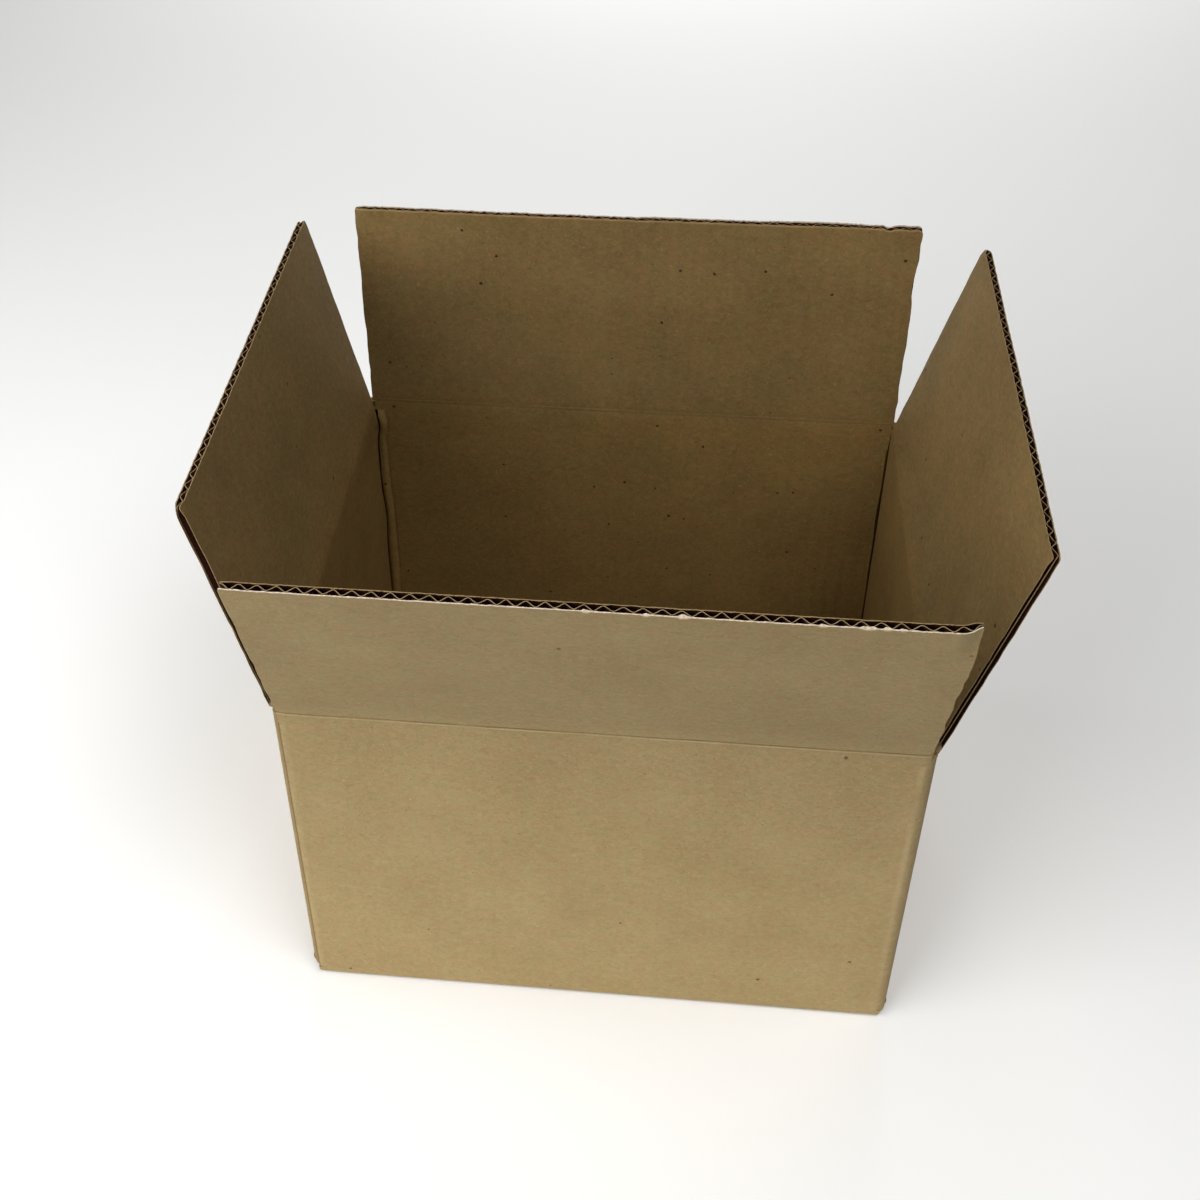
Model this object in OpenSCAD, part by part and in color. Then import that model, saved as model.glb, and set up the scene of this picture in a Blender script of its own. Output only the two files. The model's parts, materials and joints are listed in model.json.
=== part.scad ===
// Regular slotted carton of single wall corrugated board, standing open.
// One blank is scored, slotted, folded and glued at the front left corner.
// The four bottom flaps are shut and taped, the four top flaps stand open.
// X runs along the long front panel, Y goes to the back and Z is up.
// The origin is the middle of the base, on the surface that the box stands on.

/* [Box] */
// Outside length, along the front and back panels
body_l = 305; // [285:1:340]
// Outside width, along the end panels
body_w = 250; // [220:1:275]
// Height of the front and back panels, up to the crease of their flaps
wall_h = 205; // [150:1:260]
// Outside radius of an ordinary folded corner
corner_r = 4; // [2:0.5:5]
// Outside radius of the worn front right corner
worn_corner_r = 6; // [4:0.5:7]

/* [Board] */
// Thickness of the corrugated board
board_t = 4; // [3.6:0.1:4.4]
// Thickness of each flat liner
liner_t = 0.5; // [0.4:0.05:0.6]
// Thickness of the wavy middle sheet
medium_t = 0.45; // [0.35:0.05:0.55]
// Distance from one flute to the next
flute_pitch = 7.8; // [7:0.1:9]
// Depth of the groove between the liners on an edge that is cut along the flutes
edge_groove = 2; // [1:0.5:3]

/* [Flaps] */
// Gap left between the long flaps where their edges meet
meet_gap = 2; // [1:0.5:6]
// Distance from a corner to the side edge of a front or back flap
long_inset = 3.5; // [3.2:0.1:4]
// Spare room between an end flap's side edge and the inside of the long panels
end_clear = 0.6; // [0.5:0.1:3]
// Clearance between an end flap and the long flap that shuts over it
lap_clear = 0.3; // [0.3:0.1:1]
// Half of the hairline gap along a scored crease
score_gap = 0.1; // [0.05:0.05:0.2]
// Height of the band at a flap's foot where the scoring wheels crushed the flutes
crush_h = 10; // [6:1:16]
// How far the front flap leans out from upright, in degrees
front_open = 20; // [0:1:60]
// How far the back flap leans out from upright, in degrees
back_open = 0.5; // [0:0.5:60]
// How far the left flap leans out from upright, in degrees
left_open = 13; // [5:1:60]
// How far the right flap leans out from upright, in degrees
right_open = 15; // [5:1:60]

/* [Glued corner] */
// Width of the glue tab behind the front panel, from the corner
tab_w = 34; // [24:1:45]
// Height that each slanted end of the tab loses across its width
tab_bevel = 9; // [4:1:15]
// Clearance between the tab and the end flaps above and below it
tab_clear = 1; // [0.5:0.5:4]

/* [Crushed fold] */
// Width of the buckled bead in the back left corner
bead_w = 9; // [6:0.5:12]
// Height that the bead stands out from the back panel
bead_h = 2.4; // [1:0.2:3]
// Width of the slit that the score leaves inside the two back corners
slit_w = 0.6; // [0.3:0.1:1]
// Depth of that slit into the back panel
slit_d = 1.2; // [0.5:0.1:1.5]

/* [Tape] */
// Width of the tape over the bottom seam
tape_w = 48; // [36:1:75]
// Thickness of the tape
tape_t = 0.2; // [0.1:0.05:0.3]
// Height that the tape runs up each end panel
tape_lap = 55; // [30:1:75]

/* [Hidden] */
$fn = 48;
kraft_outside = "#b0996a";
kraft_inside = "#8d7343";
tape_brown = "#b98c4a";

// Depth of every flap: the long ones meet over the middle of the box
flap_d = (body_w - meet_gap) / 2;
// Distance from the front or back crease down to the crease of the end flaps
crease_drop = board_t + lap_clear;
// Heights of the creases and of the bottom layers
long_crease_z = tape_t + wall_h;
short_crease_z = long_crease_z - crease_drop;
short_floor_z = tape_t + crease_drop;
floor_top_z = short_floor_z + board_t;
// Lengths of the flaps along their creases
long_flap_l = body_l - 2 * long_inset;
end_panel_l = body_w - 2 * board_t;
short_flap_l = end_panel_l - 2 * end_clear;
// Height of the strip of an end panel that belongs to its bottom fold
fold_h = corner_r + board_t / 4;
// Half the height of the wave that the middle sheet makes between the liners
wave_h = (board_t - 2 * liner_t - medium_t) / 2;
// Half of an open channel's width at its liner, as a share of the pitch
channel_half = 0.42;
// Places of the corners along a channel's curved side, as shares of the pitch
channel_steps = [-0.29, -0.15, 0, 0.15, 0.29];
// Circle that the bead's round back follows
bead_r = (bead_w * bead_w / 4 + bead_h * bead_h) / (2 * bead_h);
// Spare length that lets a cutter or a joined piece run past a face
over = 1;

// Height of the middle sheet's centre line above the outside face
function wave_y(x) = board_t / 2 + wave_h * cos(360 * x / flute_pitch);
// Slope of that centre line
function wave_slope(x) = -2 * PI * wave_h / flute_pitch * sin(360 * x / flute_pitch);
// Half the middle sheet's thickness, measured straight across the board
function half_medium(x) = medium_t / 2 * sqrt(1 + pow(wave_slope(x), 2));
// The same points on the other side of the middle, in the opposite order
function mirrored(points) =
    [for (i = [len(points) - 1:-1:0]) [-points[i][0], points[i][1]]];
// The same points in the opposite order
function backwards(points) = [for (i = [len(points) - 1:-1:0]) points[i]];

// One open channel along x: side 1 is under the inside liner, in a trough of the
// middle sheet, and side -1 is over the outside liner, below a crest
module channel(x, side) {
    liner_y = side > 0 ? board_t - liner_t : liner_t;
    half = channel_half * flute_pitch;
    curve = [for (f = channel_steps)
        [x + f * flute_pitch,
         wave_y(x + f * flute_pitch) + side * half_medium(x + f * flute_pitch)]];
    polygon(concat([[x - half, liner_y]], curve, [[x + half, liner_y]]));
}

// The board seen along its flutes: two liners, the wavy sheet and open side edges
module board_section(length) {
    // The last leg of the middle sheet stands whole beside the edge groove
    reach = length / 2 - edge_groove - medium_t;
    count = floor(reach / flute_pitch - channel_half);
    difference() {
        translate([-length / 2, 0]) square([length, board_t]);
        for (k = [-count:count]) channel(k * flute_pitch, -1);
        for (k = [-count:count - 1]) channel((k + 0.5) * flute_pitch, 1);
        for (side = [-1, 1])
            translate([side * length / 2 - edge_groove, liner_t])
                square([2 * edge_groove, board_t - 2 * liner_t]);
    }
}

// A profile across the board, drawn inwards from the outside face and up from the
// crease, and run along X
module along_crease(length) {
    rotate([90, 0, 90])
        translate([0, 0, -length / 2])
            linear_extrude(length) children();
}

// One top flap, upright over its crease. The crease runs along X on the outside
// face, and the score is open at 45 degrees so that the flap folds flat inwards
module flap_board(length) {
    translate([0, 0, crush_h])
        linear_extrude(flap_d - crush_h) board_section(length);
    along_crease(length)
        polygon([[0, score_gap], [board_t, board_t + score_gap],
                 [board_t, crush_h], [0, crush_h]]);
}

module front_flap() {
    color(kraft_outside)
        translate([0, -body_w / 2, long_crease_z])
            rotate([front_open, 0, 0]) flap_board(long_flap_l);
}

module back_flap() {
    color(kraft_inside)
        translate([0, body_w / 2, long_crease_z])
            rotate([0, 0, 180]) rotate([back_open, 0, 0]) flap_board(long_flap_l);
}

module left_flap() {
    color(kraft_inside)
        translate([-body_l / 2, 0, short_crease_z])
            rotate([0, 0, -90]) rotate([left_open, 0, 0]) flap_board(short_flap_l);
}

module right_flap() {
    color(kraft_inside)
        translate([body_l / 2, 0, short_crease_z])
            rotate([0, 0, 90]) rotate([right_open, 0, 0]) flap_board(short_flap_l);
}

// Waste outside a round corner of radius r, whose tip is at the origin
module corner_waste(r) {
    difference() {
        translate([-over, -over]) square(r + over);
        translate([r, r]) circle(r);
    }
}

// Waste in front of the glued corner: the left panel turns behind the front one, a
// board's thickness further in, and shows beside the front panel's raw edge
module glued_corner_waste() {
    difference() {
        translate([-over, -over])
            square([long_inset + over, board_t + long_inset + over]);
        translate([long_inset, board_t + long_inset]) circle(long_inset);
    }
}

// Plan of the four walls
module wall_plan() {
    difference() {
        translate([-body_l / 2, -body_w / 2]) square([body_l, body_w]);
        translate([-body_l / 2 + board_t, -body_w / 2 + board_t])
            square([body_l - 2 * board_t, body_w - 2 * board_t]);
        translate([-body_l / 2, -body_w / 2]) glued_corner_waste();
        // Open groove between the liners on the front panel's raw edge
        translate([-body_l / 2 + long_inset - over, -body_w / 2 + liner_t])
            square([edge_groove + over, board_t - 2 * liner_t]);
        // Slits that the score leaves inside the back corners
        for (side = [-1, 1])
            translate([side * (body_l / 2 - board_t - slit_w / 2) - slit_w / 2,
                       body_w / 2 - board_t - over])
                square([slit_w, slit_d + over]);
        translate([-body_l / 2, body_w / 2]) mirror([0, 1]) corner_waste(corner_r);
        translate([body_l / 2, body_w / 2]) rotate(180) corner_waste(corner_r);
        translate([body_l / 2, -body_w / 2]) mirror([1, 0]) corner_waste(worn_corner_r);
    }
}

// Cutter for the top of an end panel: the slots at its corners end at the crease,
// and the score leaves a bevel of 45 degrees across the board
module score_bevel(length) {
    along_crease(length)
        polygon([[-over, over], [-over, over - score_gap],
                 [board_t + over, -board_t - over - score_gap],
                 [board_t + over, over]]);
}

// Front or back panel where it rises past the end flaps' crease, up to its score
module long_wall_top() {
    along_crease(long_flap_l)
        polygon([[0, short_crease_z - over], [board_t, short_crease_z - over],
                 [board_t, long_crease_z - board_t - score_gap],
                 [0, long_crease_z - score_gap]]);
}

// Foot of a panel, which turns round the fold into its bottom flap
module bottom_fold(length, foot_h) {
    along_crease(length)
        difference() {
            union() {
                square([board_t, foot_h]);
                square([flap_d, board_t]);
            }
            corner_waste(corner_r);
        }
}

// Glue tab: a strip of the left end panel, folded behind the front panel
module glue_tab() {
    low = floor_top_z + tab_clear;
    high = short_crease_z - board_t - tab_clear;
    root = min(long_inset, board_t - over / 2);
    translate([-body_l / 2, -body_w / 2 + 2 * board_t, 0])
        rotate([90, 0, 0])
            linear_extrude(board_t)
                polygon([[root, low], [tab_w, low + tab_bevel],
                         [tab_w, high - tab_bevel], [root, high]]);
}

// Buckled inside liner along the fold in the back left corner
module corner_bead() {
    low = floor_top_z + tab_clear;
    high = short_crease_z - board_t - tab_clear;
    translate([-body_l / 2 + board_t + slit_w, body_w / 2 - board_t, low])
        linear_extrude(high - low)
            intersection() {
                translate([bead_w / 2, bead_r - bead_h]) circle(bead_r);
                translate([0, -bead_h - over]) square([bead_w, bead_h + 2 * over]);
            }
}

// The folded blank without its top flaps
module carton_body() {
    color(kraft_outside) {
        difference() {
            translate([0, 0, short_floor_z])
                linear_extrude(short_crease_z - short_floor_z) wall_plan();
            for (side = [-1, 1])
                translate([side * body_l / 2, 0, 0])
                    rotate([0, 0, side * 90]) {
                        translate([0, 0, short_crease_z]) score_bevel(end_panel_l);
                        // Room for the bottom fold, with slots beside it
                        translate([-end_panel_l / 2, -over, short_floor_z - over])
                            cube([end_panel_l, board_t + 2 * over, fold_h + over]);
                    }
        }
        for (side = [-1, 1])
            translate([side * body_l / 2, 0, short_floor_z])
                rotate([0, 0, side * 90]) bottom_fold(short_flap_l, fold_h);
        for (turn = [0, 180])
            rotate([0, 0, turn])
                translate([0, -body_w / 2, 0]) {
                    long_wall_top();
                    translate([0, 0, tape_t]) bottom_fold(long_flap_l, crease_drop + over);
                }
        glue_tab();
        corner_bead();
    }
}

// Strip of packing tape over the bottom seam and up both end panels. It bridges
// the step between the long flaps' ends and the folds of the end panels
module bottom_tape() {
    wall = body_l / 2;
    flap_end = long_flap_l / 2;
    fold_z = short_floor_z + corner_r / 2;
    lean = corner_r / 4;
    // Corners of the strip's outer and inner face, down from the top at the right
    outer = [[wall + tape_t, tape_lap], [wall + tape_t, fold_z],
             [wall + tape_t - lean, short_floor_z], [flap_end + tape_t, 0]];
    inner = [[wall, tape_lap], [wall, fold_z],
             [wall - lean, short_floor_z], [flap_end, tape_t]];
    color(tape_brown)
        rotate([90, 0, 0])
            translate([0, 0, -tape_w / 2])
                linear_extrude(tape_w)
                    polygon(concat(outer, mirrored(outer),
                                   backwards(concat(inner, mirrored(inner)))));
}

carton_body();
front_flap();
back_flap();
left_flap();
right_flap();
bottom_tape();
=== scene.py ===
import json
import math

import bmesh
import bpy
import numpy as np
from mathutils import Matrix, Vector


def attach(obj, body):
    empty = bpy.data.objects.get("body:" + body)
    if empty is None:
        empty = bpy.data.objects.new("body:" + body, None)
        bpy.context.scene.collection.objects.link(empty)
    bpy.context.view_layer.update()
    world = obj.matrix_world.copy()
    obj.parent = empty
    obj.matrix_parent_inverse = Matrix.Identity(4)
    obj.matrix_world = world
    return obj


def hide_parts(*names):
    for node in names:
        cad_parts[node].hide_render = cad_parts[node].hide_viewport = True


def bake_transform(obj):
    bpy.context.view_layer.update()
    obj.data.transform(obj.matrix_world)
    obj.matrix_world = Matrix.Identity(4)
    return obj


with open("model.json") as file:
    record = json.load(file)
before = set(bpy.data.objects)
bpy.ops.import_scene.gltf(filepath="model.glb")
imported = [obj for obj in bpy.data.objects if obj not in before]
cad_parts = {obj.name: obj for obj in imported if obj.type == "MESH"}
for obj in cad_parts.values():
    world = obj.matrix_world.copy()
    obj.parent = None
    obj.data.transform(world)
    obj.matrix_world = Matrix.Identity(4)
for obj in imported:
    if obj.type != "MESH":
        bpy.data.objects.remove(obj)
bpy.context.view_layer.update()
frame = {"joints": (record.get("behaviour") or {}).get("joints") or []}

# Studio. A round white floor in a dim room, which throws light up at the panels. Wide
# softboxes stand at the front left, high on the right and far behind, and a small one is
# high on the left. The camera looks down at the front of the box by 39 degrees. Metres.


def linear(hex_colour):
    """An sRGB hex colour as linear RGBA."""
    parts = [int(hex_colour[i:i + 2], 16) / 255 for i in (1, 3, 5)]
    return [p / 12.92 if p <= 0.04045 else ((p + 0.055) / 1.055) ** 2.4 for p in parts] + [1]


def add(tree, kind, settings, inputs, stops=()):
    """A shader node with its settings, whose inputs take a value or another node's output.
    A colour ramp has stops too, each a place and a colour."""
    made = tree.nodes.new("ShaderNode" + kind)
    for name, value in settings.items():
        setattr(made, name, value)
    for number, (place, colour) in enumerate(stops):
        elements = made.color_ramp.elements
        stop = elements[number] if number < len(elements) else elements.new(place)
        stop.position = place
        stop.color = linear(colour)
    for name, value in inputs.items():
        if isinstance(value, tuple) and isinstance(value[0], bpy.types.Node):
            tree.links.new(value[0].outputs[value[1]], made.inputs[name])
        else:
            made.inputs[name].default_value = value
    return made


def new_material(name):
    """An empty node material and its tree."""
    made = bpy.data.materials.new(name)
    made.use_nodes = True
    made.node_tree.nodes.clear()
    return made, made.node_tree


def put(name, data):
    """A new object in the scene, made from a mesh, a light or a camera."""
    made = bpy.data.objects.new(name, data)
    bpy.context.scene.collection.objects.link(made)
    return made


def place_camera():
    """The camera of the photograph, from a fit to the box's corners."""
    frame_side = 1200
    focal = 1599.4
    middle = (540, 480)
    place = Vector((0.0306, -0.6157, 0.7501))
    pitch, yaw, roll = (math.radians(a) for a in (38.91, -6.41, -1.02))
    ahead = Vector((math.sin(yaw) * math.cos(pitch), math.cos(yaw) * math.cos(pitch),
                    -math.sin(pitch)))
    level = ahead.cross(Vector((0, 0, 1))).normalized()
    above = level.cross(ahead)
    right = math.cos(roll) * level + math.sin(roll) * above
    up = math.cos(roll) * above - math.sin(roll) * level
    data = bpy.data.cameras.new("camera")
    data.sensor_width = 36.0
    data.lens = data.sensor_width * focal / frame_side
    data.shift_x = 0.5 - middle[0] / frame_side
    data.shift_y = middle[1] / frame_side - 0.5
    camera = put("camera", data)
    turn = Matrix((right, up, -ahead)).transposed().to_4x4()
    camera.matrix_world = Matrix.Translation(place) @ turn
    bpy.context.scene.camera = camera


def soft_light(name, place, target, size, power):
    """A square softbox that faces the target."""
    data = bpy.data.lights.new(name, "AREA")
    data.shape = "SQUARE"
    data.size = size
    data.energy = power
    light = put(name, data)
    light.location = place
    aim = Vector(target) - Vector(place)
    light.rotation_euler = aim.to_track_quat("-Z", "Y").to_euler()


def lay_floor():
    """White painted studio floor: matt, with faint cloudy roller marks."""
    radius, sides = 2.5, 96
    marks_per_metre = 1.5
    mesh = bpy.data.meshes.new("floor")
    turns = [2 * math.pi * i / sides for i in range(sides)]
    mesh.from_pydata([(radius * math.cos(a), radius * math.sin(a), 0) for a in turns], [],
                     [list(range(sides))])
    floor = put("floor", mesh)
    paint, tree = new_material("white_floor_paint")
    place = add(tree, "TexCoord", {}, {})
    clouds = add(tree, "TexNoise", {}, {"Vector": (place, "Object"), "Scale": marks_per_metre})
    tone = add(tree, "Mix", {"data_type": "RGBA"},
               {0: (clouds, "Fac"), 6: linear("#f4f4f3"), 7: linear("#fafaf9")})
    coat = add(tree, "BsdfPrincipled", {}, {"Base Color": (tone, 2), "Roughness": 0.85})
    add(tree, "OutputMaterial", {}, {"Surface": (coat, "BSDF")})
    mesh.materials.append(paint)


def light_room():
    """The room's dim white light, its pale wall, and the colours shown as they are."""
    room_light, wall_seen = 0.06, 0.85
    scene = bpy.context.scene
    scene.view_settings.view_transform = "Standard"
    scene.view_settings.look = "None"
    world = bpy.data.worlds.new("room")
    world.use_nodes = True
    tree = world.node_tree
    tree.nodes.clear()
    ray = add(tree, "LightPath", {}, {})
    strength = add(tree, "MapRange", {},
                   {"Value": (ray, "Is Camera Ray"), "To Min": room_light, "To Max": wall_seen})
    back = add(tree, "Background", {}, {"Color": linear("#ffffff"), "Strength": (strength, 0)})
    add(tree, "OutputWorld", {}, {"Surface": (back, "Background")})
    scene.world = world


place_camera()
lay_floor()
light_room()
box_middle = (0, 0, 0.15)
right_wall = (0.1, 0, 0.2)
soft_light("front_left_softbox", (-0.87, -0.87, 0.87), box_middle, size=1.15, power=17.1)
soft_light("high_right_softbox", (0.717, -0.717, 2.275), box_middle, size=1.2, power=29.0)
soft_light("high_left_softbox", (-0.96, -0.03, 0.82), right_wall, size=0.7, power=2.7)
soft_light("back_softbox", (0.0, 2.318, 0.721), box_middle, size=1.2, power=26.0)

# Board. Single wall corrugated kraft board, 4 mm thick: a wavy sheet glued between two
# flat liners. The outside liner is virgin kraft, the inside one recycled brown paper.
# All lengths are millimetres. The front flap shows 39 flutes, so each is 7.6 mm long.
board_t = 4.0
liner_t = 0.34
medium_t = 0.26
flute_pitch = 7.6
flute_swing = (board_t - 2 * liner_t - medium_t) / 2
liner_sag = 0.045
smooth_up_to = math.radians(38)
weld_distance = 1e-6
hinges = {joint["child"]: joint for joint in frame["joints"]}
half_l = hinges["right_flap"]["pos_m"][0] * 1000
half_w = hinges["back_flap"]["pos_m"][1] * 1000
crease_z = {"long": hinges["front_flap"]["pos_m"][2] * 1000,
            "end": hinges["left_flap"]["pos_m"][2] * 1000}
quarter_turns = {"front": 0, "right": 1, "back": 2, "left": 3}
kinds = {"front": "long", "right": "end", "back": "long", "left": "end"}
out_of = {"long": half_w, "end": half_l}
half_of = {"long": half_l, "end": half_w}


def wander(at, step, seed):
    """A smooth random line between -1 and 1, with a new value at each step."""
    knots = np.random.default_rng(seed).uniform(-1, 1, 1024)
    place = np.asarray(at, float) / step + 512
    cell = np.floor(place).astype(int)
    share = place - cell
    share = share * share * (3 - 2 * share)
    return knots[cell] * (1 - share) + knots[cell + 1] * share


def ease(low, high, at):
    """0 below low, 1 above high, and a smooth rise between them."""
    share = np.clip((np.asarray(at, float) - low) / (high - low), 0, 1)
    return share * share * (3 - 2 * share)


def on_box(side, u, depth, z):
    """Points in the frame: u along a panel, depth inwards from its outside face."""
    c, s = ((1, 0), (0, 1), (-1, 0), (0, -1))[quarter_turns[side]]
    out = depth - out_of[kinds[side]]
    return np.stack(np.broadcast_arrays(u * c - out * s, u * s + out * c, z), -1)


def washboard(u):
    """How far the outside and the inside liner sag between the flutes that carry them."""
    wave = np.cos(2 * np.pi * u / flute_pitch)
    depth = liner_sag * (1 + 0.5 * wander(u, 2.3 * flute_pitch, 3))
    return depth * (1 + wave) / 2, depth * (1 - wave) / 2


class Boardwork:
    """The sheets of one piece, gathered in millimetres and then made into its mesh."""

    def __init__(self):
        self.points, self.flat, self.faces, self.papers, self.total = [], [], [], [], 0

    def lay(self, points, flat, rub_and_shade=0.0):
        """Adds a grid of points with their places on the blank and how far the paper is
        made pale (up to 1) or dark (down to -1), by wear and torn fibre and by painted shade
        and highlights, and numbers them."""
        count = points.shape[0] * points.shape[1]
        self.points.append(points.reshape(-1, 3))
        self.flat.append(np.stack(np.broadcast_arrays(*flat, rub_and_shade), -1).reshape(-1, 4))
        self.total += count
        return np.arange(self.total - count, self.total).reshape(points.shape[:2])

    def take(self, faces, paper):
        """Adds faces that show one paper."""
        self.faces += faces.tolist() if isinstance(faces, np.ndarray) else faces
        self.papers += [paper] * len(faces)

    def cover(self, grid, paper, cells=None):
        """Covers a grid of points, or only the cells that are there."""
        faces = np.stack([grid[:-1, :-1], grid[1:, :-1], grid[1:, 1:], grid[:-1, 1:]], -1)
        self.take(faces.reshape(-1, 4) if cells is None else faces[cells], paper)

    def join(self, one, other, paper):
        """Closes the strip between two lines of points."""
        self.take(np.stack([one[:-1], one[1:], other[1:], other[:-1]], -1), paper)

    def rim(self, outer, inner, cells, paper):
        """Closes the cut edges round the cells that are there."""
        full = np.pad(cells, 1)
        i, j = np.nonzero(full[:-1, 1:-1] != full[1:, 1:-1])
        self.take(np.stack([outer[i, j], outer[i, j + 1], inner[i, j + 1], inner[i, j]], -1), paper)
        i, j = np.nonzero(full[1:-1, :-1] != full[1:-1, 1:])
        self.take(np.stack([outer[i, j], outer[i + 1, j], inner[i + 1, j], inner[i, j]], -1), paper)

    def fluting(self, one, other):
        """Covers both faces of a wavy sheet and closes its cut edges."""
        self.cover(one, SHADED_FLUTE)
        self.cover(other, SHADED_FLUTE)
        self.rim(one, other, np.ones((one.shape[0] - 1, one.shape[1] - 1), bool), CUT)

    def piece(self, name, materials):
        """The mesh object, in metres, smooth apart from its cut edges."""
        mesh = bpy.data.meshes.new(name)
        mesh.from_pydata(np.concatenate(self.points) / 1000, [], self.faces)
        flat = np.concatenate(self.flat).astype(np.float32)
        blank = mesh.attributes.new("blank", "FLOAT_VECTOR", "POINT")
        blank.data.foreach_set("vector", flat[:, :3].ravel())
        rub_and_shade = mesh.attributes.new("rub_and_shade", "FLOAT", "POINT")
        rub_and_shade.data.foreach_set("value", flat[:, 3])
        mesh.polygons.foreach_set("material_index", self.papers)
        work = bmesh.new()
        work.from_mesh(mesh)
        bmesh.ops.remove_doubles(work, verts=work.verts, dist=weld_distance)
        bmesh.ops.delete(work, geom=[v for v in work.verts if not v.link_faces], context="VERTS")
        bmesh.ops.recalc_face_normals(work, faces=work.faces)
        work.to_mesh(mesh)
        work.free()
        mesh.polygons.foreach_set("use_smooth", [True] * len(mesh.polygons))
        mesh.set_sharp_from_angle(angle=smooth_up_to)
        for material in materials:
            mesh.materials.append(material)
        made = put(name, mesh)
        return made


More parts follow.
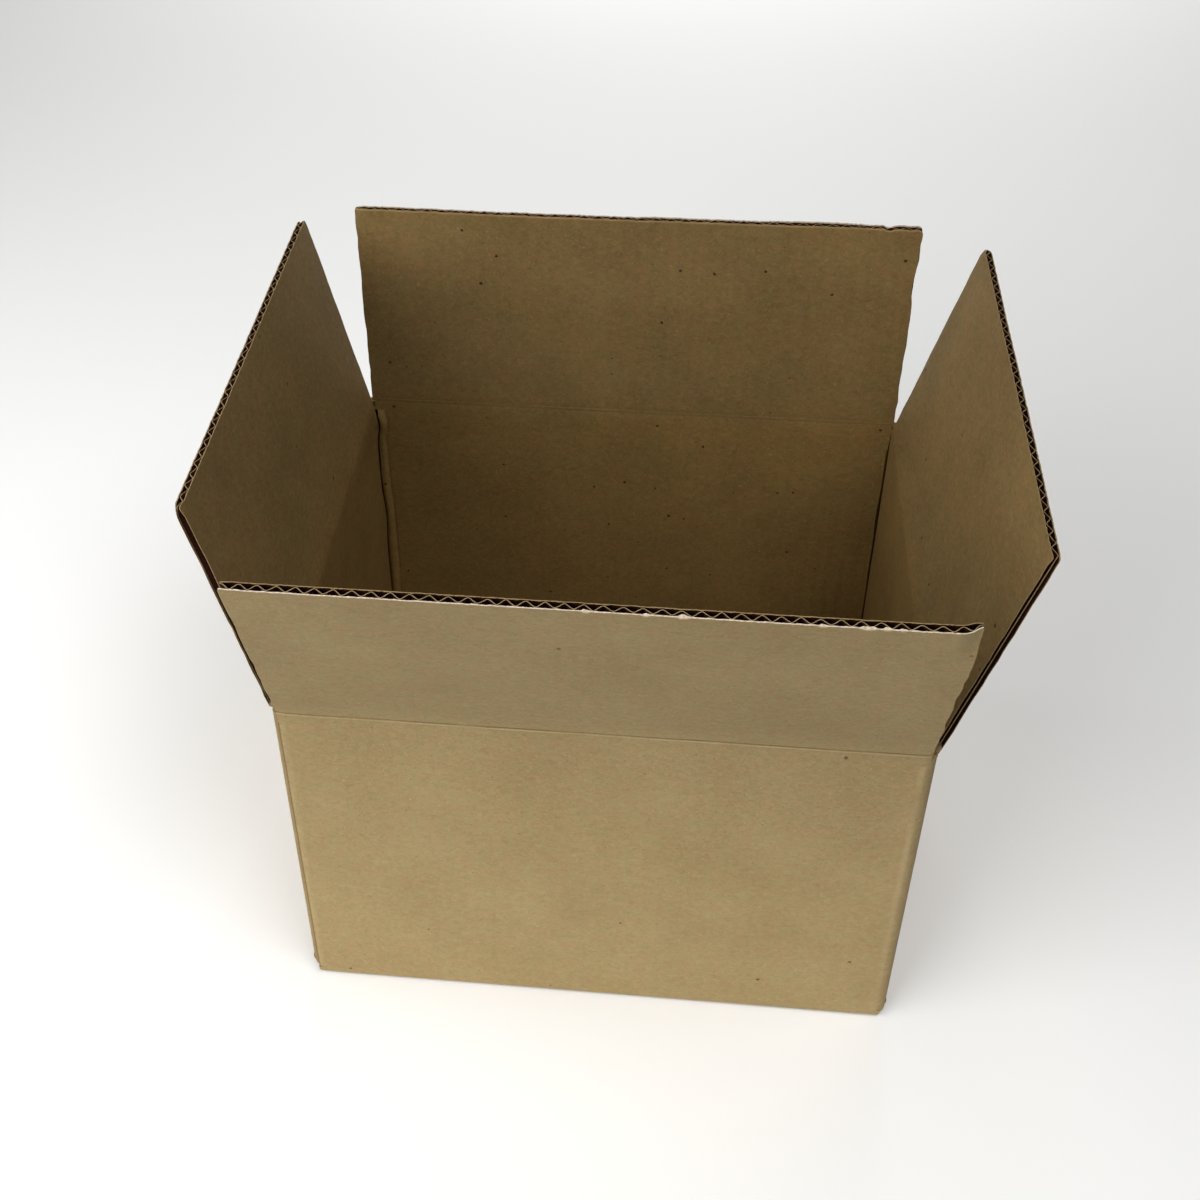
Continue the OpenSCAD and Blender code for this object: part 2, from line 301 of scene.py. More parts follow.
def kraft_liner(name, tones, speck, rubbed, speck_share, grain, shade_by_height):
    """Kraft liner, calendered on the machine: matt, with khaki and tan clouds of pulp,
    small flocks a little wider than high, bark specks, and pale loose fibres. Its tones
    go from pale to dark, and a painted shade by height tints it at the base, the crease
    and the flaps."""
    flock_mm, fibre_mm, speck_mesh_mm = (3.3, 2.5, 3.3), (1.1, 0.7, 1.1), 9
    cloud_share, flock_share, washboard_shade_share = 0.8, 1.3, 0.012
    flap_end_mm = 330
    paper, tree = new_material(name)
    at = add(tree, "Attribute", {"attribute_name": "blank"}, {})
    # Noises with their size in millimetres, detail and roughness: clouds of pulp, patches
    # of hue, loose fibre ends, the rags of bark specks, and felt marks
    clouds, patches, ends, tatter, felt = (
        add(tree, "TexNoise", {}, {"Vector": (at, "Vector"), "Scale": 1 / size_mm,
                                   "Detail": detail, "Roughness": rough})
        for size_mm, detail, rough in ((50, 3.0, 0.6), (8, 2.0, 0.5), (1.5, 1.0, 0.5),
                                       (0.8, 1.0, 0.5), (0.9, 4.0, 0.65)))
    # Value: the clouds, flocks about 3 by 2.5 mm, fibres about 1 by 0.7 mm, and a faint
    # painted shade along the flutes for the washboard
    flock_way = add(tree, "Mapping", {"vector_type": "TEXTURE"},
                    {"Vector": (at, "Vector"), "Scale": flock_mm})
    flocks = add(tree, "TexNoise", {},
                 {"Vector": (flock_way, "Vector"), "Scale": 1.0, "Detail": 3.0, "Roughness": 0.6,
                  "Distortion": 1.2})
    fibre_way = add(tree, "Mapping", {"vector_type": "TEXTURE"},
                    {"Vector": (at, "Vector"), "Scale": fibre_mm, "Rotation": (0, 0, 0.1)})
    fibres = add(tree, "TexNoise", {},
                 {"Vector": (fibre_way, "Vector"), "Scale": 1.0, "Detail": 3.0,
                  "Roughness": 0.7, "Distortion": 0.8})
    parts = add(tree, "SeparateXYZ", {}, {"Vector": (at, "Vector")})
    turn = add(tree, "Math", {"operation": "MULTIPLY"},
               {0: (parts, "X"), 1: 2 * math.pi / flute_pitch})
    washboard_shade = add(tree, "Math", {"operation": "SINE"}, {0: (turn, 0)})
    tone = add(tree, "Math", {"operation": "MULTIPLY_ADD"},
               {0: (washboard_shade, 0), 1: washboard_shade_share,
                2: 0.5 - 0.5 * (cloud_share + flock_share + grain)})
    for noise, weight in ((clouds, cloud_share), (flocks, flock_share), (fibres, grain)):
        tone = add(tree, "Math", {"operation": "MULTIPLY_ADD"},
                   {0: (noise, "Fac"), 1: weight, 2: (tone, 0)})
    ramp = add(tree, "ValToRGB", {}, {"Fac": (tone, 0)},
               ((0.1, tones[2]), (0.5, tones[1]), (0.9, tones[0])))
    # Hue: patches 5 to 10 mm wide, from pinkish tan to greenish khaki
    hue = add(tree, "ValToRGB", {}, {"Fac": (patches, "Fac")},
              ((0.36, "#fffaf9"), (0.64, "#fafffc")))
    pulp = add(tree, "Mix", {"data_type": "RGBA", "blend_type": "MULTIPLY"},
               {0: 1.0, 6: (ramp, "Color"), 7: (hue, "Color")})
    # Loose pale fibre ends, under 1 mm, where a fine noise peaks
    fleck = add(tree, "MapRange", {"interpolation_type": "SMOOTHSTEP"},
                {"Value": (ends, "Fac"), "From Min": 0.66, "From Max": 0.78,
                 "To Min": 0.0, "To Max": 0.4})
    pulp = add(tree, "Mix", {"data_type": "RGBA"}, {0: (fleck, 0), 6: (pulp, 2), 7: linear(rubbed)})
    # Painted shade by height: darker up to the flaps outside, warmer at the base inside
    height = add(tree, "Math", {"operation": "MULTIPLY"}, {0: (parts, "Y"), 1: 1 / flap_end_mm})
    height_shade = add(tree, "ValToRGB", {}, {"Fac": (height, 0)},
               ((0.0, shade_by_height[0]), (0.6, shade_by_height[1]), (0.67, shade_by_height[2])))
    pulp = add(tree, "Mix", {"data_type": "RGBA", "blend_type": "MULTIPLY"},
               {0: 1.0, 6: (pulp, 2), 7: (height_shade, "Color")})
    # Ragged bark specks up to 1 mm across, in some of the cells of a 9 mm mesh
    ragged = add(tree, "VectorMath", {"operation": "MULTIPLY_ADD"},
                 {0: (tatter, "Color"), 1: (1.3, 1.3, 0.0), 2: (at, "Vector")})
    cells = add(tree, "TexVoronoi", {"voronoi_dimensions": "2D"},
                {"Vector": (ragged, 0), "Scale": 1 / speck_mesh_mm})
    pick = add(tree, "SeparateColor", {}, {"Color": (cells, "Color")})
    reach = add(tree, "MapRange", {},
                {"Value": (pick, "Red"), "From Min": 1 - speck_share, "From Max": 1.0,
                 "To Min": 0.02, "To Max": 0.108})
    inside = add(tree, "Math", {"operation": "SUBTRACT"}, {0: (reach, 0), 1: (cells, "Distance")})
    dot = add(tree, "MapRange", {"interpolation_type": "SMOOTHSTEP"},
              {"Value": (inside, 0), "From Min": -0.012, "From Max": 0.012,
               "To Min": 0.0, "To Max": 0.85})
    spotted = add(tree, "Mix", {"data_type": "RGBA"}, {0: (dot, 0), 6: (pulp, 2), 7: linear(speck)})
    # Rubbed corners lose their size and show pale fibre, torn fibre shows pale too, and the
    # same attribute paints shade dark into scores, slits and joints and highlights pale on ridges
    rub_and_shade = add(tree, "Attribute", {"attribute_name": "rub_and_shade"}, {})
    worn = add(tree, "Mix", {"data_type": "RGBA"},
               {0: (rub_and_shade, "Fac"), 6: (spotted, 2), 7: linear(rubbed)})
    press = add(tree, "Math", {"operation": "MULTIPLY"}, {0: (rub_and_shade, "Fac"), 1: -1.0})
    worn = add(tree, "Mix", {"data_type": "RGBA"}, {0: (press, 0), 6: (worn, 2), 7: linear(speck)})
    # Relief: felt marks and fibres, about 1 mm across
    fibre_relief = 0.8
    relief = add(tree, "Math", {"operation": "MULTIPLY_ADD"},
                 {0: (fibres, "Fac"), 1: fibre_relief, 2: (felt, "Fac")})
    bump = add(tree, "Bump", {}, {"Height": (relief, 0), "Strength": 0.35, "Distance": 0.00012})
    face = add(tree, "BsdfPrincipled", {},
               {"Base Color": (worn, 2), "Roughness": 0.82, "IOR": 1.5,
                "Specular IOR Level": 0.25, "Normal": (bump, "Normal")})
    add(tree, "OutputMaterial", {}, {"Surface": (face, "BSDF")})
    return paper


def loose_paper(name, dark, pale):
    """Unsized paper: open and fuzzy, without the liner's smooth machine finish."""
    fuzz_mm = 1.3
    paper, tree = new_material(name)
    at = add(tree, "Attribute", {"attribute_name": "blank"}, {})
    fuzz = add(tree, "TexNoise", {},
               {"Vector": (at, "Vector"), "Scale": 1 / fuzz_mm, "Detail": 4.0,
                "Roughness": 0.7})
    ramp = add(tree, "ValToRGB", {}, {"Fac": (fuzz, "Fac")}, ((0.3, dark), (0.72, pale)))
    bump = add(tree, "Bump", {}, {"Height": (fuzz, "Fac"), "Strength": 0.5, "Distance": 0.0002})
    face = add(tree, "BsdfPrincipled", {},
               {"Base Color": (ramp, "Color"), "Roughness": 0.95, "IOR": 1.5,
                "Specular IOR Level": 0.15, "Normal": (bump, "Normal")})
    add(tree, "OutputMaterial", {}, {"Surface": (face, "BSDF")})
    return paper


OUTSIDE, INSIDE, CUT, SHADED_FLUTE, TORN = 0, 1, 2, 3, 4
board_papers = [
    kraft_liner("kraft_outside_liner", tones=("#b59f72", "#aa9367", "#9e865b"), speck="#57452a",
                rubbed="#cfbb93", speck_share=0.012, grain=0.45,
                # painted shade: the outside grows darker up the panel and on the flaps
                shade_by_height=("#ffffff", "#e4e4e4", "#d5d5d5")),
    kraft_liner("recycled_inside_liner", tones=("#8e7246", "#7e673e", "#705934"), speck="#201006",
                rubbed="#a58a5b", speck_share=0.045, grain=1.0,
                # painted shade: the inside is warmer at the base, for the deep shade, and greyer on
                # the flaps
                shade_by_height=("#fff9e6", "#fffaec", "#f5f5f5")),
    loose_paper("cut_edge_fibre", dark="#756140", pale="#9f8963"),
    # The fluting and the liners' backs in the channels are painted near black: painted shade in the
    # open channels
    loose_paper("recycled_fluting_in_painted_shade", dark="#2b1109", pale="#402011"),
    loose_paper("torn_liner_fibre", dark="#a8947e", pale="#e4d7c5"),
]

# Walls. Four panels of one blank, folded round and glued: the left panel turns in
# behind the front one and ends there as the glue tab, beside the front's raw edge.
# The score lines crushed the board, so the inside liner leaves a slit in each back corner.
# How far the flaps reach along each panel from its middle
long_inset, end_inset = 3.5, 0.6
long_reach = half_l - long_inset
end_reach = half_w - board_t - end_inset
# Heights: the posts' bottom ends, the outsides of the bottom flaps, the tops of their
# folds, and how far below its crease a panel starts to bend with its top flap
post_low = 3.0
base_z = {"long": 0.2, "end": 4.5}
fold_r, fold_rise = 4.0, 1.8
foot_z = {kind: base_z[kind] + fold_r + fold_rise for kind in base_z}
seam_drop = 7.0
# Outside radii of the worn front right fold, the tab's fold and the back corners
worn_r, tight_r, back_r = 7.0, 2.4, 3.4
# The glue tab, the joint pressed on it, and the width in which the bead's columns are fine
tab_stop = half_w - board_t - tight_r - 0.2
tab_reach, tab_slant, tab_step = 34.0, 9.0, 2.0
joint_press, joint_press_w = 0.7, 4.2
bead_zone = 14.0


def corner_columns(half, radius, angles):
    """Columns round a fold at the end of a panel: u and depth, outside and then inside."""
    turn = np.radians(angles)
    inner = max(radius - board_t, 0)
    return (half - radius + radius * np.sin(turn), radius - radius * np.cos(turn),
            half - board_t - inner + inner * np.sin(turn), board_t + inner - inner * np.cos(turn))


def wall_columns():
    """The blank's columns in the order in which the walls are folded."""
    step = flute_pitch / 4
    by_the_raw_edge = np.arange(0.4, 6, 0.4) - long_reach
    columns = []

    def run(side, start, stop, kind, fine=(), inner_stop=math.inf):
        """Columns along a flat stretch, where the inside may stop short of the outside."""
        count = max(1, round((stop - start) / step))
        places = np.unique(np.concatenate([np.linspace(start, stop, count + 1), fine]))
        for u in places if not columns else places[1:]:
            inner = min(max(u, board_t - half_of[kinds[side]]), inner_stop)
            columns.append((side, u, 0.0, u if side == "front" else inner, board_t, kind))

    def fold(side, half, radius, kinds_at):
        """Columns round a fold, each angle with the kind of panel that ends there."""
        parts = corner_columns(half, radius, [angle for angle, kind in kinds_at])
        for (angle, kind), *places in zip(kinds_at[1:], *[part[1:] for part in parts]):
            columns.append((side, *places, kind))

    plain = [(a, "corner") for a in (0, 11, 22, 34, 45, 56, 68, 79, 90)]
    run("front", -long_reach, half_l - worn_r, "long", by_the_raw_edge)
    fold("front", half_l, worn_r, [(0, "long"), (10, "long"), (20, "long"), (30, "long"),
                                   (40, "corner"), (50, "corner"), (60, "corner"),
                                   (70, "corner"), (80, "end"), (90, "end")])
    run("right", worn_r - half_w, end_reach, "end")
    run("right", end_reach, half_w - back_r, "corner", (), half_w - board_t)
    fold("right", half_w, back_r, plain)
    run("back", back_r - half_l, -long_reach, "corner")
    bead = np.arange(half_l - board_t - bead_zone, half_l - board_t, 0.7)
    run("back", -long_reach, long_reach, "long", bead, half_l - board_t)
    run("back", long_reach, half_l - back_r, "corner", (), half_l - board_t)
    fold("back", half_l, back_r, plain)
    run("left", back_r - half_w, -end_reach, "corner")
    run("left", -end_reach, tab_stop, "end", (), half_w - 2 * board_t)
    run("left", tab_stop, half_w - board_t - tight_r, "corner", (), half_w - 2 * board_t)
    fold("left", half_w - board_t, tight_r, plain)
    for depth in np.arange(board_t + tab_step, tab_reach + 0.1, tab_step):
        columns.append(("left", half_w - board_t, depth, half_w - 2 * board_t, depth, "tab"))
    return columns


def panel_bow(side, u, z):
    """How far a panel stands in from flat, in millimetres: it bulges out a little."""
    bulge_out, ripple = 0.7, 0.16
    kind = kinds[side]
    low, top = foot_z[kind], crease_z[kind] - seam_drop
    share = np.clip((z - low) / (top - low), 0, 1)
    bulge = np.cos(np.pi * u / (2 * half_of[kind])) * np.sin(np.pi * share)
    seed = 11 + quarter_turns[side]
    away = ease(0, 14, half_of[kind] - np.abs(u)) * ease(0, 0.1, share) * ease(0, 0.1, 1 - share)
    return -bulge_out * bulge + ripple * wander(u, 46, seed) * wander(z, 62, seed + 9) * away


def joint_crush(u):
    """The gluing machine pressed the front panel's raw edge flat over the tab."""
    return joint_press * (1 - ease(-0.5, joint_press_w, u + long_reach))


def outside_wear_and_shade(sides, u, z):
    """The front panel's raw edge gets a painted shadow line, with a faint painted highlight on
    the ridge beside it. Its worn fold starts with a pale line and grows darker towards the
    right panel, and the left panel's fold gets dust and painted shade."""
    ridge_highlight, raw_edge_shade, fold_pale, fold_dark, fold_dust_and_shade = 0.13, 0.85, 0.3, 0.22, 0.22
    worn_edge = half_l - worn_r + 0.6
    tone = ridge_highlight * np.exp(-((u + long_reach - 1.2) / 0.7) ** 2) * (0.4 + wander(z, 7, 61))
    tone = tone - raw_edge_shade * np.exp(-((u + long_reach) / 0.45) ** 2)
    tone = tone + (fold_pale * np.exp(-((u - worn_edge) / 0.9) ** 2)
                   * (0.7 + 0.5 * wander(z, 16, 62)))
    tone = tone - fold_dark * ease(worn_edge + 2.5, half_l - 1, u)
    tone = np.where((sides == "front")[:, None], tone, 0.0)
    fold = (sides == "left")[:, None] & (u > half_w - board_t - tight_r)
    return np.where(fold, -fold_dust_and_shade - 0.08 * wander(z, 9, 63), tone)


def build_walls():
    """The walls from the bottom folds up to the band that bends with each flap."""
    low, high, slot_z = post_low, crease_z["end"], crease_z["long"] - 0.9
    even_top = 176
    tops = {"long": crease_z["long"] - seam_drop, "end": crease_z["end"] - seam_drop}
    rows = np.unique(np.concatenate([
        [low, low + 0.7, 4.6, foot_z["long"], foot_z["end"], tops["end"], tops["long"], high,
         high + 0.15, slot_z - 0.6, slot_z],
        np.linspace(foot_z["end"], even_top, 25)[1:],
        np.linspace(even_top, tops["end"], 9)[1:-1]]))
    columns = wall_columns()
    sides = np.array([c[0] for c in columns])
    named = np.array([c[5] for c in columns])
    out_u, out_d, in_u, in_d = (
        np.repeat(np.array([c[i] for c in columns])[:, None], len(rows), 1) for i in (1, 2, 3, 4))
    z = np.repeat(rows[None, :], len(columns), 0)
    # Liners sag between the flutes, and the panels bow a little, away from their folds
    flat_part = np.where(np.isin(named, ["long", "end"]), 1.0, 0.0)[:, None]
    half = np.array([half_of[kinds[s]] for s in sides])[:, None]
    away = flat_part * ease(0, 14, half - np.abs(out_u))
    away = away * ease(low, 22, z) * ease(0, 14, tops["end"] - z)
    out_sag, in_sag = washboard(out_u)
    bow = np.zeros_like(z)
    for name in quarter_turns:
        here = sides == name
        bow[here] = panel_bow(name, out_u[here], z[here])
    bow = bow * flat_part
    # The carrier rolls marked the back panel's flutes near its right end
    marks_u, marks_z, marks_w, marks_h, marks_deeper = -104, 70, 34, 60, 6
    marks = np.exp(-((out_u - marks_u) / marks_w) ** 2 - ((z - marks_z) / marks_h) ** 2)
    marks = marks * (sides == "back")[:, None]
    in_d = in_d - in_sag * away * (1 + marks_deeper * marks) + bow
    out_d = out_d + out_sag * away + bow
    out_d = out_d + np.where((sides == "front")[:, None], joint_crush(out_u), 0)
    # The corner posts round in at their bottom ends, and the slot knife pinched the tops
    post = (named == "corner")[:, None] * (1 - ease(post_low, post_low + 2.5, z))
    out_d = out_d + 0.5 * post + 0.25 * ease(slot_z - 0.8, slot_z, z)
    pinched = (z > high + 0.1) & np.isin(sides, ["left", "right"])[:, None]
    in_d = np.where(pinched, np.minimum(in_d, 3.2), in_d)
    outer_wear_and_shade = outside_wear_and_shade(sides, out_u, z)
    inner_slit_shade = shape_back_corners(sides, named, rows, in_u, in_d, out_u)
    slant = np.where(named == "tab", (out_d[:, 0] - board_t) / (tab_reach - board_t), 0)[:, None]
    middle = (tops["end"] + foot_z["end"]) / 2
    z = z - (z - middle) / (tops["end"] - middle) * slant * tab_slant
    # Place on the blank, measured along the outside face
    way = np.concatenate([[0], np.cumsum(np.linalg.norm(np.diff(
        np.array([on_box(c[0], c[1], c[2], 0.0) for c in columns]), axis=0), axis=1))])
    outer_points = np.empty(z.shape + (3,))
    inner_points = np.empty(z.shape + (3,))
    for name in quarter_turns:
        here = sides == name
        outer_points[here] = on_box(name, out_u[here], out_d[here], z[here])
        inner_points[here] = on_box(name, in_u[here], in_d[here], z[here])
    work = Boardwork()
    outer = work.lay(outer_points, (way[:, None], z, 0.0), outer_wear_and_shade)
    inner = work.lay(inner_points, (way[:, None], z, board_t), inner_slit_shade)
    spans = {"corner": (low, high), "long": (foot_z["long"], tops["long"]),
             "end": (foot_z["end"], tops["end"]), "tab": (foot_z["end"], tops["end"])}
    cells = np.zeros((len(columns) - 1, len(rows) - 1), bool)
    for i, (kind, side, u) in enumerate(zip(named[1:], sides[1:], out_u[1:, 0])):
        at_back = kind == "corner" and side != "front" and (side != "left" or u < 0)
        first, last = (low, slot_z) if at_back else spans[kind]
        cells[i] = (rows[:-1] >= first - 1e-6) & (rows[1:] <= last + 1e-6)
    work.cover(outer, OUTSIDE, cells)
    work.cover(inner, INSIDE, cells)
    work.rim(outer, inner, cells, CUT)
    return work, dict(zip(("front", "right", "back", "left"), panel_starts(columns, way)))


def panel_starts(columns, way):
    """Where the middle of each panel lies on the blank."""
    for name in quarter_turns:
        here = [i for i, c in enumerate(columns) if c[0] == name and c[2] == 0.0]
        yield float(np.interp(0.0, [columns[i][1] for i in here], way[here]))


def slit_drift(side, z):
    """How far a back corner's slit has wandered off the corner along the back panel."""
    if side == "right":
        return 0.0 * z
    return (1.7 * np.exp(-((z - 187) / 8) ** 2) - 0.5 * np.exp(-((z - 148) / 9) ** 2)
            + 1.1 * np.exp(-((z - 118) / 15) ** 2))


def shape_back_corners(sides, named, rows, in_u, in_d, out_u):
    """Moves the inside sheet to open the slits of the back corners, where the crushed liner
    gapes, and to lay its buckled bead at the left one. Returns the painted shade in the slits."""
    slit_deep, slit_shade = 3.0, 0.85
    top = crease_z["end"] - 3
    inner_slit_shade = np.zeros_like(in_u)
    fade = ease(0, 12, top + 3 - rows)
    gape = 1 + 0.4 * wander(rows, 23, 31)
    # Corner by corner: the panels on its two sides, and how far each liner stops short
    for side, after, before_gap, after_gap in (
            ("right", "back", 0.1 * fade, (0.3 + 0.95 * ease(4, 16, top - rows)) * gape),
            ("back", "left", 0.42 * gape * (1 + 1.6 * ease(120, 165, rows)), 0.3 * gape * fade)):
        centre = half_of[kinds[side]] - board_t
        next_start = board_t - half_of[kinds[after]]
        drift = slit_drift(side, rows)
        arc = np.nonzero((sides == side) & (named == "corner") & (in_u[:, 0] > centre - 0.01)
                         & (out_u[:, 0] > centre))[0]
        depth = slit_deep * ease(0, 10, top + 3 - rows)
        for place, i in enumerate(arc):
            share = place / (len(arc) - 1)
            sunk = 0.02 < share < 0.98
            in_u[i] = centre - drift + depth * sunk - before_gap * (share < 0.5)
            in_d[i] = board_t - depth * sunk + after_gap * (share >= 0.5)
            # painted shade deep in the slit
            inner_slit_shade[i] = -slit_shade * sunk
        for i in np.nonzero(sides == side)[0]:
            if i < arc[0]:
                in_u[i] = np.minimum(in_u[i], centre - drift - before_gap)
        for i in np.nonzero(sides == after)[0]:
            if i > arc[-1]:
                in_u[i] = np.maximum(in_u[i], next_start + after_gap)
    bead_w, bead_h, pleat_z = 4.6, 1.9, 168
    height = ease(0, 8, top + 2 - rows)
    drift = slit_drift("back", rows)
    inside_end = half_l - board_t
    near = (out_u[:, 0] < inside_end) & (out_u[:, 0] > inside_end - 12)
    for i in np.nonzero((sides == "back") & near)[0]:
        width = bead_w * (1 + 0.18 * wander(rows, 30, 35)) * np.sqrt(np.clip(height, 0.02, 1))
        share = (inside_end - 0.5 - drift - out_u[i]) / width
        hump = np.sqrt(np.clip(1 - (2 * share - 1) ** 2, 0, 1))
        groove = np.exp(-((share - 1.08) / 0.12) ** 2)
        pleat = np.exp(-((share - 0.38) / 0.1) ** 2) * np.exp(-((rows - pleat_z) / 16) ** 2)
        wrinkle = 0.25 * wander(rows, 4, 36) * ease(top - 22, top - 6, rows)
        in_d[i] += (bead_h * (1 + wrinkle) * hump - 0.4 * groove - 0.5 * pleat) * height
    return inner_slit_shade


walls, panel_middle = build_walls()

# Top and bottom flaps. The panels run on into the flaps over a crushed score, and the
# flaps' free edges are die cut straight across the flutes, which stand open there.
# The bottom ones are folded in flat, the end pair first, and never move.
# The long pair meets in the middle. From its crease on, a top flap's flutes are open past
# pocket_v and a bottom flap's past open_strip_v. They start at their own place on each.
meet_gap = 2.0
flap_d = half_w - meet_gap / 2
pocket_v, open_strip_v = 5.0, 112
cut_burr = 0.22
flute_shift = {"front": -3.7, "right": 0.0, "back": 0.0, "left": 2.0}


def rest_lean(side):
    """How far a top flap leans out at rest: its hinge shuts flat from there."""
    return -hinges[side + "_flap"]["range_deg"][0] - 90


def bent_path(v, turn, spread):
    """Depth and height along a board that turns by an angle at v = 0, and its slope."""
    fine = np.linspace(v.min(), v.max(), 4000)
    slope = np.radians(turn) * ease(-spread, spread, fine)
    size = np.diff(fine, prepend=fine[0])
    depth, height = np.cumsum(-np.sin(slope) * size), fine[0] + np.cumsum(np.cos(slope) * size)
    return np.interp(v, fine, depth), np.interp(v, fine, height), np.interp(v, fine, slope)


def fold_share(side, u):
    """How far a place near the worn front right corner has turned round it, as a sine."""
    past = {"front": u - (half_l - worn_r), "right": worn_r - half_w - u}.get(side, -1.0 + 0 * u)
    return np.clip(past, 0, None) / worn_r


def close_liners(work, outer, inner, outer_back, inner_back, free_edge, above_flutes):
    """Covers both liners, their backs in the open channels, and the cut edges round them."""
    work.cover(outer, OUTSIDE)
    work.cover(inner, INSIDE)
    work.cover(outer_back[:, :-1], SHADED_FLUTE)
    work.cover(outer_back[:, -2:], above_flutes)
    work.cover(inner_back, SHADED_FLUTE)
    work.join(outer_back[:, 0], inner_back[:, 0], CUT)
    work.join(outer[:, -1], outer_back[:, -1], free_edge)
    work.join(inner[:, -1], inner_back[:, -1], CUT)
    work.join(outer[:, 0], inner[:, 0], CUT)
    first = outer.shape[1] - outer_back.shape[1]
    for end in (0, -1):
        work.join(outer[end, :first], inner[end, :first], CUT)
        round_the_foot = (outer[end, first - 1], outer[end, first], outer_back[end, 0],
                          inner_back[end, 0], inner[end, first], inner[end, first - 1])
        work.take([[int(n) for n in round_the_foot]], CUT)
        work.join(outer[end, first:], outer_back[end], CUT)
        work.join(inner[end, first:], inner_back[end], CUT)


def flap_sheets(work, side, reach, v, path, lift, warp, nicks, seed, ends):
    """One flap with its score: liners, flutes between them, and its open cut edges. U and V
    hold each point's place along the panel and up from the crease, before it is cut."""
    edge = cut_edge(seed + 20, nicks)
    depth, height, slope = path
    step = flute_pitch / 10
    count = round(2 * reach / step)
    u = np.linspace(-reach, reach, count + 1)
    U, V = np.meshgrid(u, v, indexing="ij")
    far = v.max()
    # Ragged cut edges: the side edges wander, the free edge has nicks, and corners are soft
    tip = ease(reach - 1.6, reach, np.abs(U)) * ease(far - 1.6, far, V)
    U_cut = U * ends(V, U) / reach - np.sign(U) * 0.4 * tip
    top_cut = edge(U) * ease(far - 6, far, V) - 0.35 * tip
    pinch = corner_pinch(U, V, reach, far)
    away = ease(pocket_v, pocket_v + 12, V) * ease(0, 8, reach - np.abs(U))
    out_sag, in_sag = washboard(U)
    lean_depth, lean_height = -np.sin(slope)[None, :], np.cos(slope)[None, :]

    # The band below the crease turns with the walls' worn corner
    sine = fold_share(side, U)
    turned = (1 - np.sqrt(1 - sine ** 2)) * (1 - ease(-2, 9, V))
    narrowed = board_t * sine * np.sign(U) * (1 - ease(-2, 9, V))

    def at(thick, within=0.0, rise=0.0):
        """Points at a distance inwards from the outside face."""
        d = depth[None, :] + lean_height * thick + lean_depth * (top_cut + rise)
        h = height[None, :] - lean_depth * thick + lean_height * (top_cut + rise)
        d = d + turned * (worn_r - board_t * within)
        return on_box(side, U_cut - narrowed * within, d, lift + h)

    bend = warp(U, V)
    outer_t = scored(U, V, side) + out_sag * away + bend + pinch
    inner_t = board_t - crushed(V, side) - in_sag * away + bend - pinch
    start = panel_middle[side]
    flat = (start + U_cut, V + top_cut + crease_z["long"])
    # The back flap's outer liner tore a little above its flutes on one half
    proud = (0.45 + 0.35 * wander(U, 21, seed + 30)) * ease(-8, 12, -U) * ease(far - 1.6, far, V)
    proud = proud * (side == "back")
    # The outside liner carries the score's painted shade and highlight, and the torn fibre
    outer = work.lay(at(outer_t, 0.0, proud), flat + (0.0,),
                     score_shade_and_highlight(U, V, side) + torn_tone(U, V, nicks, far))
    inner = work.lay(at(inner_t, 1.0), flat + (board_t,), inside_crease_shade_and_rub(U, V, side, far))
    first = int(np.searchsorted(v, pocket_v))
    # Behind the liners: fuzz, the burr that the die pressed in, and chips in the channels
    fuzz = 0.12 * wander(U, 0.9, seed + 5)
    burr = cut_burr * ease(far - 1.4, far, V)
    chips = 0.75 * torn_tone(U, V, nicks, far) * (1 + 0.5 * wander(U, 0.7, seed + 9))
    outer_back_t = outer_t + liner_t + burr + chips + fuzz * away
    inner_back_t = inner_t - liner_t - 0.4 * burr - fuzz * away
    outer_back = work.lay(at(outer_back_t, 0.0, proud)[:, first:],
                          tuple(f[:, first:] for f in flat) + (liner_t,))
    inner_back = work.lay(at(inner_back_t)[:, first:],
                          tuple(f[:, first:] for f in flat) + (board_t - liner_t,))
    close_liners(work, outer, inner, outer_back, inner_back,
                 TORN if kinds[side] == "long" else CUT, TORN if side == "back" else SHADED_FLUTE)
    flute_sheet(work, side, reach, v, path, lift, warp, edge, seed)


